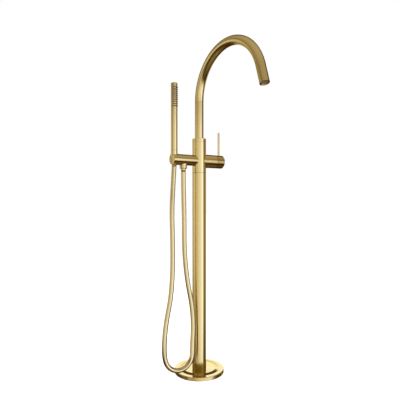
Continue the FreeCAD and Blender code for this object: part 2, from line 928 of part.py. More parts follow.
def spout_tube():
    """The gooseneck: one tube swept up, over and down to the mouth."""
    body = new_body("spout_tube")
    path = new_sketch(body, "YZ_Plane", "spout_path")
    sweep = math.radians(value("bend_sweep"))
    bend = value("bend_radius")
    foot = FreeCAD.Vector(0, value("stub_top"), 0)
    start = FreeCAD.Vector(0, value("bend_start"), 0)
    centre = start - FreeCAD.Vector(bend, 0, 0)
    end = centre + FreeCAD.Vector(math.cos(sweep), math.sin(sweep), 0) * bend
    mouth = end + FreeCAD.Vector(-math.sin(sweep), math.cos(sweep), 0) * value("spout_drop")
    riser = path.addGeometry(Part.LineSegment(foot, start), False)
    circle = Part.Circle(centre, FreeCAD.Vector(0, 0, 1), bend)
    arc = path.addGeometry(Part.ArcOfCircle(circle, 0, sweep), False)
    drop = path.addGeometry(Part.LineSegment(end, mouth), False)
    path.addConstraint(Sketcher.Constraint("Tangent", riser, 2, arc, 1))
    path.addConstraint(Sketcher.Constraint("Tangent", arc, 2, drop, 1))
    pin_point(path, riser, 1, "0", "stub_top")
    pin_point(path, riser, 2, "0", "bend_start")
    rules = (
        (Sketcher.Constraint("Radius", arc, bend), "bend_radius"),
        (Sketcher.Constraint("Distance", drop, value("spout_drop")), "spout_drop"),
        (Sketcher.Constraint("DistanceX", -1, 1, drop, 2, mouth.x), "-spout_reach"),
    )
    for rule, expression in rules:
        number = path.addConstraint(rule)
        bind(path, "Constraints[%d]" % number, expression)
    section = new_sketch(body, "XY_Plane", "spout_section")
    bind(section, "AttachmentOffset.Base.z", "stub_top")
    draw_circle(section, "0", "0", "tube_r")
    draw_circle(section, "0", "0", "tube_bore_r")
    pipe = body.newObject("PartDesign::AdditivePipe", "spout_pipe")
    pipe.Profile = section
    pipe.Spine = (path, [])
    keep("spout_tube", body)


def aerator():
    """The threaded housing in the spout's mouth and the perforated insert inside it."""
    tilt = ((1, 0, 0), "bend_sweep")
    mouth = {"y": "-spout_reach", "z": "spout_mouth", "turn": tilt}
    top = "-aerator_recess - aerator_length"
    housing = turned(
        "aerator_housing",
        tube_outline("insert_r", "aerator_r", top, "-aerator_recess"),
    )
    keep("aerator_housing", place(housing, **mouth))
    plate_top = "-aerator_recess * 2"
    insert = turned(
        "aerator_insert",
        [
            ("0", plate_top + " - aerator_plate"),
            ("insert_r", plate_top + " - aerator_plate"),
            ("insert_r", plate_top),
            ("0", plate_top),
        ],
    )
    doc.recompute()
    depth = "aerator_plate + aerator_recess * 2"
    for ring in ("outer_jet", "inner_jet"):
        hole = pocket(insert, "XY_Plane", ring + "_circle / 2", "0", "aerator_hole_dia / 2", depth, ring)
        around(insert, hole, "aerator_hole_count", ring + "s")
    keep("aerator_insert", place(insert, **mouth))


# ---------------------------------------------------------------- holder arm


def holder_arm():
    """The arm: coped to the body, with a boss for the hose and an open seat for the handset."""
    bar = turned(
        "arm_bar",
        [
            ("0", "-arm_reach"),
            ("arm_r - arm_chamfer", "-arm_reach"),
            ("arm_r", "-arm_reach + arm_chamfer"),
            ("arm_r", "0"),
            ("0", "0"),
        ],
        axis="X",
    )
    place(bar, z="arm_height")
    barrel = cylinder("arm_cope", "column_r", "body_height", z="column_top")
    boss_r = "outlet_boss_dia / 2"
    boss = cylinder("outlet_boss", boss_r, "outlet_boss_drop", x="-outlet_reach", z="boss_foot")
    coped = cut("arm_coped", joined("arm_solid", bar, boss), barrel)
    spigot = cylinder(
        "arm_spigot",
        "arm_spigot_dia / 2",
        "column_r",
        x="-column_r + arm_spigot_depth",
        z="arm_height",
        along="-X",
    )
    full = joined("arm_full", coped, spigot)
    reach = "outlet_reach - column_r + arm_spigot_depth"
    thread_r = "outlet_thread_dia / 2"
    hollows = [
        cylinder(
            "arm_waterway",
            "arm_waterway_dia / 2",
            reach,
            x="-column_r + arm_spigot_depth",
            z="arm_height",
            along="-X",
        ),
        cylinder(
            "arm_plenum",
            "arm_spigot_dia / 2 - plenum_wall",
            "plenum_length",
            x="-column_r + arm_spigot_depth",
            z="arm_height",
            along="-X",
        ),
        cylinder("outlet_port", thread_r, "outlet_port_depth", x="-outlet_reach", z="boss_foot"),
        seat_cone("arm_seat", "liner_wall + body_gap"),
        seat_slot("arm_slot"),
    ]
    keep("holder_arm", cut("holder_arm", full, *hollows))
    outside = seat_cone("liner_outside", "liner_wall + body_gap")
    shell = cut("liner_shell", outside, seat_cone("liner_inside", "body_gap"))
    envelope = cylinder("liner_envelope", "arm_r", "arm_reach", z="arm_height", along="-X")
    trimmed = doc.addObject("Part::Common", "liner_trimmed")
    trimmed.Base = cut("liner_slotted", shell, seat_slot("liner_slot"))
    trimmed.Tool = envelope
    keep("holder_liner", trimmed)


def seat_slot(name):
    """The way into the seat from the arm's end, which the hose passes through."""
    corner = ("-seat_reach - arm_reach", "-slot_width / 2", "arm_height - arm_dia")
    return box(name, "arm_reach", "slot_width", "arm_dia * 2", *corner)


def seat_cone(name, offset):
    """The handset's seat in the arm: the conical nut's own taper, opened out by an offset."""
    low = "arm_height - arm_dia"
    high = "arm_height + arm_dia"
    middle = "cone_foot_r + (%s - cone_foot) * cone_slope + " + offset
    return cone(
        name,
        middle.replace("%s", low),
        middle.replace("%s", high),
        "arm_dia * 2",
        "-seat_reach",
        "0",
        low,
    )


# ---------------------------------------------------------------- hose and its fittings


def hose_outlet():
    """Under the arm: the nipple with its check valve, then the hose's nut and tail."""
    thread_r = "outlet_thread_dia / 2"
    bore_r = "nipple_bore_dia / 2"
    boss_r = "outlet_boss_dia / 2"
    spot = {"x": "-outlet_reach"}
    nipple = turned("outlet_nipple", tube_outline(bore_r, thread_r, "nipple_foot", "nipple_top"))
    keep("outlet_nipple", place(nipple, **spot))
    valve_foot = "nipple_top - valve_length"
    valve = turned("check_valve", tube_outline("arm_waterway_dia / 4", bore_r, valve_foot, "nipple_top"))
    keep("check_valve", place(valve, **spot))
    nut = turned(
        "hose_nut",
        [
            ("hose_nut_hole_dia / 2", "nut_foot"),
            (boss_r, "nut_foot"),
            (boss_r, "nut_top - seam_chamfer"),
            (boss_r + " - seam_chamfer", "nut_top"),
            (thread_r, "nut_top"),
            (thread_r, "tail_top - washer_thick"),
            ("hose_nut_hole_dia / 2", "tail_top - washer_thick"),
        ],
    )
    round_rim(nut, "nut_rounding", boss_r, "nut_foot", "hose_nut_round")
    keep("hose_nut", place(nut, **spot))
    washer = turned("outlet_washer", tube_outline("hose_bore_dia / 2", thread_r, "tail_top", "nipple_foot"))
    keep("outlet_washer", place(washer, **spot))
    tail = turned(
        "hose_tail",
        [
            ("hose_bore_dia / 2", "hose_exit"),
            ("hose_nut_hole_dia / 2", "hose_exit"),
            ("hose_nut_hole_dia / 2", "tail_top - washer_thick"),
            (thread_r, "tail_top - washer_thick"),
            (thread_r, "tail_top"),
            ("hose_bore_dia / 2", "tail_top"),
        ],
    )
    keep("hose_tail", place(tail, **spot))


# The hose's free stretch as it hangs, from the fitting under the arm, round the loop and up to
# the handset. The first and last points follow the fittings.
HOSE_ROUTE = [
    (-61.5, 0.0, 600.0),
    (-61.0, -4.5, 508.5),
    (-62.0, -5.5, 401.0),
    (-55.5, -12.5, 308.0),
    (-42.0, -21.5, 224.5),
    (-40.5, -26.0, 161.0),
    (-48.0, -31.5, 105.5),
    (-52.5, -37.5, 64.5),
    (-72.0, -36.0, 40.0),
    (-101.5, -31.0, 32.5),
    (-129.0, -24.5, 45.5),
    (-142.0, -20.0, 73.0),
    (-143.5, -20.5, 129.0),
    (-136.5, -21.0, 190.0),
    (-122.0, -24.5, 261.5),
    (-114.0, -21.5, 341.5),
    (-110.5, -15.5, 430.0),
    (-109.0, -7.5, 528.0),
    (-100.0, -1.0, 612.0),
]
ARC_SHARE = 0.45


def hose():
    """The hose as a tube on straight runs joined by tangent arcs."""
    exit_point = (value("-outlet_reach"), 0.0, value("hose_exit"))
    far_point = (value("-seat_reach"), 0.0, value("cone_foot - hose_end_gap"))
    points = [FreeCAD.Vector(*spot) for spot in [exit_point] + HOSE_ROUTE + [far_point]]
    edges = []
    radii = []
    here = points[0]
    for before, corner, after in zip(points, points[1:], points[2:]):
        back = before - corner
        ahead = after - corner
        half_turn = (math.pi - back.getAngle(ahead)) / 2
        reach = ARC_SHARE * min(back.Length, ahead.Length)
        radii.append(reach / math.tan(half_turn))
        back.normalize()
        ahead.normalize()
        start = corner + back * reach
        end = corner + ahead * reach
        inward = back + ahead
        inward.normalize()
        sag = radii[-1] / math.cos(half_turn) - radii[-1]
        edges.append(Part.LineSegment(here, start).toShape())
        edges.append(Part.Arc(start, corner + inward * sag, end).toShape())
        here = end
    edges.append(Part.LineSegment(here, points[-1]).toShape())
    path = Part.Wire(edges)
    radius = value("hose_dia / 2")
    section = Part.Wire([Part.Circle(points[0], points[1] - points[0], radius).toShape()])
    tube = path.makePipeShell([section], True, False)
    expected = math.pi * radius * radius * path.Length
    print("hose: length %.1f, volume %.4f of section times length" % (path.Length, tube.Volume / expected))
    print("hose: bend radii " + ", ".join("%.0f" % bend for bend in radii))
    feature = doc.addObject("Part::Feature", "shower_hose")
    feature.Shape = tube
    keep("shower_hose", feature)


def hose_cone():
    """The handset's end of the hose: tail, washer and the conical nut that sits in the arm."""
    bore_r = "cone_bore_dia / 2"
    thread_r = "cone_thread_dia / 2"
    spot = {"x": "-seat_reach"}
    taper_top = "cone_foot + cone_taper"
    nut = turned(
        "cone_nut",
        [
            (bore_r, "cone_foot"),
            ("cone_foot_r", "cone_foot"),
            ("cone_r", taper_top),
            ("cone_r", "cone_top - seam_chamfer"),
            ("cone_r - seam_chamfer", "cone_top"),
            (thread_r, "cone_top"),
            (thread_r, "cone_shoulder_top"),
            (bore_r, "cone_shoulder_top"),
        ],
    )
    keep("cone_nut", place(nut, **spot))
    inner = "hose_bore_dia / 2"
    flange_r = thread_r + " - body_gap"
    flange_foot = "cone_shoulder_top + body_gap"
    tail = turned(
        "cone_tail",
        [
            (inner, "cone_foot"),
            (bore_r + " - running_fit", "cone_foot"),
            (bore_r + " - running_fit", flange_foot),
            (flange_r, flange_foot),
            (flange_r, "washer_foot"),
            (inner, "washer_foot"),
        ],
    )
    keep("cone_tail", place(tail, **spot))
    washer = turned("cone_washer", tube_outline(inner, flange_r, "washer_foot", "washer_foot + washer_thick"))
    keep("cone_washer", place(washer, **spot))


# ---------------------------------------------------------------- handset


def handset():
    """The stick handset: tube with its rows of nozzles, cap, threaded inlet and inner pipe."""
    spot = {"x": "-seat_reach"}
    fan = {"x": "-seat_reach", "turn": ((0, 0, 1), "-fan_angle / 2")}
    body = turned(
        "handset_body",
        [
            ("handset_bore_r", "cone_top"),
            ("handset_r - seam_chamfer", "cone_top"),
            ("handset_r", "cone_top + seam_chamfer"),
            ("handset_r", "handset_tube_top"),
            ("handset_bore_r", "handset_tube_top"),
        ],
    )
    doc.recompute()
    hole = pocket(
        body, "XZ_Plane", "0", "low_nozzle", "nozzle_hole_dia / 2", "handset_dia", "nozzle_hole", True
    )
    grid(body, hole, "nozzle_holes", "nozzle_rows", "nozzle_span", "nozzle_columns", "fan_angle")
    keep("handset_body", place(body, **fan))
    cap = turned(
        "handset_cap",
        [
            ("0", "mat_top + body_gap"),
            ("handset_bore_r", "mat_top + body_gap"),
            ("handset_bore_r", "handset_tube_top"),
            ("handset_r - seam_chamfer / 2", "handset_tube_top"),
            ("handset_r", "handset_tube_top + seam_chamfer / 2"),
            ("handset_r", "handset_top"),
            ("0", "handset_top"),
        ],
    )
    round_rim(cap, "cap_rounding", "handset_r", "handset_top", "handset_cap_round")
    keep("handset_cap", place(cap, **spot))
    thread_r = "cone_thread_dia / 2"
    inlet = turned(
        "handset_inlet",
        [
            ("hose_bore_dia / 2", "inlet_foot"),
            (thread_r, "inlet_foot"),
            (thread_r, "cone_top"),
            ("handset_bore_r", "cone_top"),
            ("handset_bore_r", "cone_top + inlet_collar"),
            ("hose_bore_dia / 2", "cone_top + inlet_collar"),
        ],
    )
    keep("handset_inlet", place(inlet, **spot))
    pipe_r = "inner_pipe_dia / 2"
    pipe = turned(
        "handset_waterway",
        [
            (pipe_r + " - handset_wall", "cone_top + inlet_collar"),
            (pipe_r, "cone_top + inlet_collar"),
            (pipe_r, "mat_foot - inner_pipe_dia / 2"),
            ("handset_bore_r", "mat_foot - body_gap * 2"),
            ("handset_bore_r - handset_wall", "mat_foot - body_gap * 2"),
            (pipe_r + " - handset_wall", "mat_foot - inner_pipe_dia / 2"),
        ],
    )
    keep("handset_waterway", place(pipe, **spot))
    nozzle_mat()


def nozzle_mat():
    """The silicone sleeve behind the holes, with one nozzle standing through each."""
    inner = "handset_bore_r - mat_thick"
    mat = turned("nozzle_mat", tube_outline(inner, "handset_bore_r", "mat_foot", "mat_top"))
    doc.recompute()
    circle = new_sketch(mat, "YZ_Plane", "nozzle_circle")
    bind(circle, "AttachmentOffset.Base.z", inner)
    draw_circle(circle, "0", "low_nozzle", "nozzle_dia / 2")
    nozzle = mat.newObject("PartDesign::Pad", "nozzle")
    nozzle.Profile = circle
    bind(nozzle, "Length", "handset_r + nozzle_proud - (%s)" % inner)
    grid(mat, nozzle, "nozzles", "nozzle_rows", "nozzle_span", "nozzle_columns", "fan_angle")
    towards_tub = ((0, 0, 1), "-90 - fan_angle / 2")
    keep("nozzle_mat", place(mat, x="-seat_reach", turn=towards_tub))


# ---------------------------------------------------------------- build, check and write


def build():
    floor_base()
    column_grub_screws()
    floor_cover()
    column_tube()
    supply_pipe("hot", "1")
    supply_pipe("cold", "-1")
    mixer_body()
    cartridge_set()
    mixer_lever()
    diverter()
    spout_collar()
    spout_stub()
    spout_tube()
    aerator()
    holder_arm()
    hose_outlet()
    hose()
    hose_cone()
    handset()
    doc.recompute()


def check():
    """Stop on any object that failed to compute and any sub-part without a valid solid."""
    for thing in doc.Objects:
        if "Invalid" in thing.State or "Error" in thing.State:
            raise RuntimeError("%s did not compute: %s" % (thing.Label, thing.State))
    for name, thing in PARTS.items():
        shape = thing.Shape
        if shape.isNull() or not shape.isValid() or not shape.Solids:
            raise RuntimeError("%s has no valid solid" % name)


def write():
    os.makedirs("parts", exist_ok=True)
    for name, thing in PARTS.items():
        thing.Shape.exportStep("parts/%s.step" % name)
        print("%-22s %d solid(s) %10.1f mm3" % (name, len(thing.Shape.Solids), thing.Shape.Volume))


build()
check()
write()
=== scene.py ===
import math

import bpy
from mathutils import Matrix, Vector


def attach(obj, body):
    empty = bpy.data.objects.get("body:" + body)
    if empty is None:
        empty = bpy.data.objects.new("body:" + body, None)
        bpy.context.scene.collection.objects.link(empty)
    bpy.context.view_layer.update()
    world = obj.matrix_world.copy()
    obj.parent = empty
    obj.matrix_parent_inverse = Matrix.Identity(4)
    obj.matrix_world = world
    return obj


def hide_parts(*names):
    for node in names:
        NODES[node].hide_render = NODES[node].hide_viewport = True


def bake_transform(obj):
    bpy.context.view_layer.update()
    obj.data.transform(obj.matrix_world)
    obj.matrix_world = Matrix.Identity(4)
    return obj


# A floor standing bath filler in brushed gold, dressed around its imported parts.
# The frame is in metres: +Z up, the spout towards -Y, the lever towards +X, the handset towards -X.

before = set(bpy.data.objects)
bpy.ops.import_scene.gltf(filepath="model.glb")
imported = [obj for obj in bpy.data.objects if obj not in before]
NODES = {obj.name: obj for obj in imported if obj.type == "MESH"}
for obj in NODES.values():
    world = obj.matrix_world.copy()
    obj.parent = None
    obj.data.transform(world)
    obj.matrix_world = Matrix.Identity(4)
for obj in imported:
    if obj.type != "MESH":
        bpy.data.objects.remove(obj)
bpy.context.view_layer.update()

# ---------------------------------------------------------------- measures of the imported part, in metres

COLUMN_RADIUS = 0.0225
COLUMN_TOP = 0.650
HOUSING_START = 0.0226
ARM_HEIGHT = 0.690
SEAT_REACH = 0.0955
OUTLET_REACH = 0.0615
PIN_REACH = 0.0797
BEND_START = 0.8825
BEND_RADIUS = 0.1496
HANDSET_RADIUS = 0.0105
LOW_NOZZLE = 0.8578
NOZZLE_PITCH = 0.0064
NOZZLE_ROWS = 10

# ---------------------------------------------------------------- camera and stage

YAW = math.radians(34.6)
LENS_PX = 411.0
FRAME_PX = 400.0
SENSOR = 36.0
CAMERA_DISTANCE = 1.350
CAMERA_ASIDE = 0.0026
CAMERA_HEIGHT = 0.5613
AHEAD = Vector((math.sin(YAW), math.cos(YAW), 0))
RIGHT = Vector((math.cos(YAW), -math.sin(YAW), 0))


def add_camera():
    """The photograph's viewpoint: level, from the tub's side and a little to the handset's side."""
    data = bpy.data.cameras.new("camera")
    data.sensor_fit = "HORIZONTAL"
    data.sensor_width = SENSOR
    data.lens = LENS_PX / FRAME_PX * SENSOR
    camera = bpy.data.objects.new("camera", data)
    bpy.context.scene.collection.objects.link(camera)
    camera.location = RIGHT * CAMERA_ASIDE - AHEAD * CAMERA_DISTANCE + Vector((0, 0, CAMERA_HEIGHT))
    camera.rotation_euler = (math.pi / 2, 0, -YAW)
    bpy.context.scene.camera = camera


# ---------------------------------------------------------------- node helpers


class Nodes:
    """Short calls for building a node tree."""

    def __init__(self, tree):
        self.tree = tree
        tree.nodes.clear()

    def add(self, kind, **settings):
        """A node; settings name its properties, and inputs by name or number its sockets."""
        node = self.tree.nodes.new(kind)
        for key, value in settings.pop("inputs", {}).items():
            self.feed(node.inputs[key], value)
        for key, value in settings.items():
            setattr(node, key, value)
        return node

    def feed(self, socket, value):
        if isinstance(value, bpy.types.NodeSocket):
            self.tree.links.new(value, socket)
        else:
            socket.default_value = value

    def math(self, operation, first, second=0.0, clamp=False):
        node = self.add("ShaderNodeMath", operation=operation, use_clamp=clamp)
        self.feed(node.inputs[0], first)
        self.feed(node.inputs[1], second)
        return node.outputs[0]

    def ramp(self, factor, stops):
        """A colour ramp through (position, colour or grey level) stops."""
        node = self.add("ShaderNodeValToRGB")
        elements = node.color_ramp.elements
        while len(elements) < len(stops):
            elements.new(0.5)
        for element, (position, colour) in zip(elements, stops):
            level = colour if isinstance(colour, (tuple, list)) else (colour, colour, colour)
            element.position = position
            element.color = (*level, 1)
        self.feed(node.inputs[0], factor)
        return node.outputs[0]

    def mix(self, factor, first, second, blend="MIX"):
        node = self.add("ShaderNodeMix", data_type="RGBA", blend_type=blend)
        self.feed(node.inputs[0], factor)
        self.feed(node.inputs[6], first)
        self.feed(node.inputs[7], second)
        return node.outputs[2]

    def noise(self, vector, scale, detail=2.0, roughness=0.5):
        node = self.add("ShaderNodeTexNoise")
        self.feed(node.inputs["Vector"], vector)
        node.inputs["Scale"].default_value = scale
        node.inputs["Detail"].default_value = detail
        node.inputs["Roughness"].default_value = roughness
        return node.outputs["Fac"]

    def spread(self, value, low, high, start=0.0, end=1.0):
        """Value mapped from start..end to low..high."""
        node = self.add("ShaderNodeMapRange")
        for key, number in (("From Min", start), ("From Max", end), ("To Min", low), ("To Max", high)):
            node.inputs[key].default_value = number
        self.feed(node.inputs["Value"], value)
        return node.outputs[0]

    def relief(self, shader, height, strength, distance):
        """The shader's surface stands out by a height, without any change of shape."""
        inputs = {"Height": height, "Strength": strength, "Distance": distance}
        node = self.add("ShaderNodeBump", inputs=inputs)
        self.feed(shader.inputs["Normal"], node.outputs[0])


def new_material(name):
    material = bpy.data.materials.new(name)
    material.use_nodes = True
    nodes = Nodes(material.node_tree)
    shader = nodes.add("ShaderNodeBsdfPrincipled")
    output = nodes.add("ShaderNodeOutputMaterial")
    nodes.feed(output.inputs["Surface"], shader.outputs[0])
    return material, nodes, shader


def grey(level):
    return (level, level, level, 1)


# ---------------------------------------------------------------- world, lamps and floor

# The studio as the metal sees it: (degrees to the right of the camera, brightness at that place).
AROUND = [
    (-180, 1.90), (-164, 1.55), (-152, 0.60), (-140, 0.45), (-122, 0.62), (-100, 0.80), (-78, 0.72),
    (-69, 0.36), (-61, 0.10), (-53, 0.46), (-44, 0.80), (-24, 0.74), (-10, 0.95), (20, 1.10),
    (40, 1.30), (62, 1.75), (68, 0.95), (76, 0.68), (92, 0.24), (112, 0.20), (132, 0.50),
    (148, 0.62), (164, 1.55), (180, 1.90),
]
# Where that wall ends above and below: (degrees to the right of the camera, sine of the elevation).
WALL_TOP = [
    (-180, 0.46), (-164, 0.42), (-150, 0.24), (-120, 0.22), (0, 0.26), (60, 0.28), (90, 0.12),
    (148, 0.16), (164, 0.42), (180, 0.46),
]
WALL_FOOT = [
    (-180, 0.0), (-164, -0.16), (-148, -0.40), (-128, -0.22), (-90, -0.24), (-60, -0.44), (-30, -0.40),
    (15, -0.50), (50, -0.46), (72, -0.36), (104, -0.20), (132, -0.44), (160, -0.08), (180, 0.0),
]
WALL_TOP_SOFT = 0.17
WALL_FOOT_SOFT = 0.20
# Floor and ceiling beyond the wall: (sine of the elevation, brightness).
UPWARDS = [
    (-1.0, 0.20), (-0.78, 0.10), (-0.62, 0.02), (-0.46, 0.03), (-0.30, 0.08),
    (0.10, 0.18), (0.35, 0.22), (0.50, 0.34), (0.80, 0.44), (1.0, 0.50),
]
# Dark strips high behind the filler, to its right and over the camera, and a bright one low behind it.
# Each has its brightness, then its share by degrees to the right of the camera and its share by the
# sine of the elevation.
STRIPS = [
    (
        0.0,
        [(-180, 0.88), (-158, 0.88), (-142, 0.0), (136, 0.0), (152, 0.88), (180, 0.88)],
        [(0.42, 0.0), (0.54, 1.0), (0.80, 1.0), (0.90, 0.0)],
    ),
    (
        0.0,
        [(96, 0.0), (116, 0.92), (150, 0.92), (164, 0.0)],
        [(0.26, 0.0), (0.37, 1.0), (0.58, 1.0), (0.70, 0.0)],
    ),
    (
        0.0,
        [(-80, 0.0), (-55, 0.80), (24, 0.80), (46, 0.25), (70, 0.0)],
        [(0.26, 0.0), (0.34, 1.0), (0.42, 1.0), (0.52, 0.0)],
    ),
    (
        2.1,
        [(-180, 0.75), (-165, 0.75), (-150, 0.0), (150, 0.0), (165, 0.75), (180, 0.75)],
        [(0.31, 0.0), (0.36, 1.0), (0.42, 1.0), (0.47, 0.0)],
    ),
]
# Dim places look warm in gold and bright ones cool: (brightness, tint), with no tint over TINT_MOST.
WARMTH = [
    (0.0, (1.60, 1.0, 0.30)), (0.07, (1.45, 1.0, 0.40)), (0.15, (1.22, 1.0, 0.56)), (0.30, (1.13, 1.0, 0.78)),
    (0.50, (1.07, 1.0, 0.90)), (0.75, (1.0, 1.0, 0.98)), (1.0, (0.98, 1.0, 1.08)), (1.36, (0.88, 1.0, 1.50)),
    (2.1, (0.84, 1.0, 1.72)),
]
TINT_MOST = 2.0
BRIGHTEST = 2.5
ROOM_LIGHT = 0.85


def surroundings():
    """A white studio for the camera; the metal sees its wall, floor and ceiling at their own brightness."""
    world = bpy.data.worlds.new("studio")
    bpy.context.scene.world = world
    world.use_nodes = True
    nodes = Nodes(world.node_tree)
    direction = nodes.add("ShaderNodeTexCoord").outputs["Generated"]
    parts = []
    for axis in (RIGHT, -AHEAD):
        dot = nodes.add("ShaderNodeVectorMath", operation="DOT_PRODUCT")
        nodes.feed(dot.inputs[0], direction)
        dot.inputs[1].default_value = axis
        parts.append(dot.outputs["Value"])
    turn = nodes.math("ARCTAN2", parts[0], parts[1])
    azimuth = nodes.spread(turn, 0.0, 1.0, -math.pi, math.pi)
    height = nodes.add("ShaderNodeSeparateXYZ", inputs={0: direction}).outputs[2]
    upright = nodes.spread(height, 0.0, 1.0, -1.0, 1.0)

    def round_about(stops, low=0.0, high=1.0):
        """Levels by degrees to the right of the camera, low drawn as black and high as white."""
        return nodes.ramp(azimuth, [((at + 180) / 360, (level - low) / (high - low)) for at, level in stops])

    def up_and_down(stops, high=1.0):
        """Levels by the sine of the elevation, high drawn as white."""
        return nodes.ramp(upright, [((at + 1) / 2, level / high) for at, level in stops])

    def edge(stops, soft, side):
        """1 on the wall's side of its top or foot, fading over soft."""
        line = nodes.spread(round_about(stops, -1.0), -1.0, 1.0)
        over = nodes.math("MULTIPLY", nodes.math("SUBTRACT", line, height), side / soft)
        return nodes.math("ADD", over, 0.5, clamp=True)

    on_wall = nodes.math(
        "MULTIPLY", edge(WALL_TOP, WALL_TOP_SOFT, 1), edge(WALL_FOOT, WALL_FOOT_SOFT, -1)
    )
    beyond = up_and_down(UPWARDS, BRIGHTEST)
    level = nodes.mix(on_wall, beyond, round_about(AROUND, high=BRIGHTEST))
    for brightness, sideways, upwards in STRIPS:
        strip = nodes.math("MULTIPLY", round_about(sideways), up_and_down(upwards))
        level = nodes.mix(strip, level, grey(brightness / BRIGHTEST))
    tints = [(at / BRIGHTEST, [channel / TINT_MOST for channel in colour]) for at, colour in WARMTH]
    tinted = nodes.mix(1.0, level, nodes.ramp(level, tints), "MULTIPLY")
    cards = nodes.mix(1.0, tinted, grey(TINT_MOST), "MULTIPLY")
    rays = nodes.add("ShaderNodeLightPath").outputs
    mirrored = nodes.math("MAXIMUM", rays["Is Glossy Ray"], rays["Is Transmission Ray"])
    seen = nodes.math("MAXIMUM", rays["Is Camera Ray"], mirrored)
    shown = nodes.mix(mirrored, grey(1 / BRIGHTEST), cards)
    white = nodes.add("ShaderNodeBackground", inputs={"Color": shown, "Strength": BRIGHTEST})
    soft = nodes.add("ShaderNodeBackground", inputs={"Color": grey(ROOM_LIGHT), "Strength": 1.0})
    both = nodes.add("ShaderNodeMixShader", inputs={0: seen, 1: soft.outputs[0], 2: white.outputs[0]})
    output = nodes.add("ShaderNodeOutputWorld")
    nodes.feed(output.inputs["Surface"], both.outputs[0])


# Soft panels: (name, metres to the camera's right, towards it and up, width, length, watts).
LAMPS = [
    ("key_panel", 1.9, 1.5, 1.5, 0.9, 1.8, 32.0),
    ("fill_panel", -1.8, 1.6, 1.6, 1.2, 1.6, 20.0),
    ("top_panel", 0.0, 0.2, 2.6, 1.6, 1.6, 16.0),
]
LAMP_AIM = Vector((0, 0, 0.55))
FLOOR_REACH = 12.0
FLOOR_COLOUR = 0.80
FLOOR_LIFT = 0.42


def add_lamp(name, aside, distance, height, width, length, power):
    """A panel aimed at the middle of the column, lighting it and the floor but not mirrored."""
    data = bpy.data.lights.new(name, "AREA")
    data.shape = "RECTANGLE"
    data.size = width
    data.size_y = length
    data.energy = power
    lamp = bpy.data.objects.new(name, data)
    bpy.context.scene.collection.objects.link(lamp)
    lamp.location = RIGHT * aside - AHEAD * distance + Vector((0, 0, height))
    lamp.rotation_euler = (LAMP_AIM - lamp.location).to_track_quat("-Z", "Y").to_euler()
    lamp.visible_glossy = False


def add_stage():
    """A pale floor that the camera sees lifted to white, but for the soft shadow on it."""
    data = bpy.data.meshes.new("floor")
    corners = [(x * FLOOR_REACH, y * FLOOR_REACH, 0) for x, y in ((-1, -1), (1, -1), (1, 1), (-1, 1))]
    data.from_pydata(corners, [], [(0, 1, 2, 3)])
    floor = bpy.data.objects.new("floor", data)
    bpy.context.scene.collection.objects.link(floor)
    material = bpy.data.materials.new("floor_white")
    material.use_nodes = True
    nodes = Nodes(material.node_tree)
    seen = nodes.add("ShaderNodeLightPath").outputs["Is Camera Ray"]
    matt = nodes.add("ShaderNodeBsdfDiffuse", inputs={"Color": grey(FLOOR_COLOUR)})
    lift = nodes.add("ShaderNodeEmission", inputs={"Color": grey(1.0), "Strength": FLOOR_LIFT})
    lifted = nodes.add("ShaderNodeAddShader", inputs={0: matt.outputs[0], 1: lift.outputs[0]})
    both = nodes.add("ShaderNodeMixShader", inputs={0: seen, 1: matt.outputs[0], 2: lifted.outputs[0]})
    output = nodes.add("ShaderNodeOutputMaterial")
    nodes.feed(output.inputs["Surface"], both.outputs[0])
    data.materials.append(material)
    floor.visible_glossy = False


# ---------------------------------------------------------------- materials

GOLD = (0.82, 0.635, 0.275, 1)
GOLD_DEEP = (0.77, 0.580, 0.238, 1)
GOLD_ROUGHNESS = 0.15
EDGE_TINT = (0.50, 0.42, 0.24, 1)
GLOSS_STRETCH = 0.65
HOSE_GOLD = (0.83, 0.665, 0.330, 1)
HOSE_GOLD_DEEP = (0.72, 0.555, 0.250, 1)
HOSE_EDGE_TINT = (0.34, 0.29, 0.19, 1)
AXES = {"X": (1, 0, 0), "Y": (0, 1, 0), "Z": (0, 0, 1)}
# How far the lines' noise still changes along them, so that they start and end.
LINE_SLANT = 0.004
SPOUT_LINE_SLANT = 0.010
# Most of a noise's values lie between these.
NOISE_MIDDLE = (0.3, 0.7)
# Noise of the turned lines, fine and broad, and of the clouds over them: (scale, detail, roughness).
FINE_LINES = (2600.0, 4.0, 0.65)
BROAD_LINES = (260.0, 2.0, 0.5)
CLOUDS = (14.0, 3.0, 0.6)
# Their shares of the shade, the shades between which the tone and the gloss change, how far the gloss
# changes, and the relief of the fine lines with its depth in metres.
FINE_SHARE = 0.35
BROAD_SHARE = 0.35
CLOUD_SHARE = 0.30
TONE_SHADES = (0.30, 0.66)
SMOOTHER = 0.03
ROUGHER = 0.04
LINE_RELIEF = 0.05
LINE_DEPTH = 0.00004
# The hose: metres for each turn of its winding, the winding's share of the shade, the clouds' noise, the
# shades between which the tone changes, its gloss, and the winding's relief with its depth in metres.
HOSE_PITCH = 0.0042
WINDING_SHARE = 0.18
HOSE_CLOUDS = (55.0, 3.0, 0.6)
HOSE_SHADES = (0.2, 0.9)
HOSE_ROUGHNESS = (0.14, 0.22)
WINDING_RELIEF = 0.05
WINDING_DEPTH = 0.00005
# Plastic, rubber and steel: the grain's (detail, roughness), the clouds' (scale, detail, roughness), the
# darkest and lightest tone, how far the grain changes the gloss, and its depth in metres.
GRAIN_NOISE = (3.0, 0.6)
PLAIN_CLOUDS = (40.0, 3.0, 0.5)
PLAIN_DARKER = 0.80
PLAIN_LIGHTER = 1.10
PLAIN_SMOOTHER = 0.06
PLAIN_ROUGHER = 0.08
GRAIN_DEPTH = 0.0001


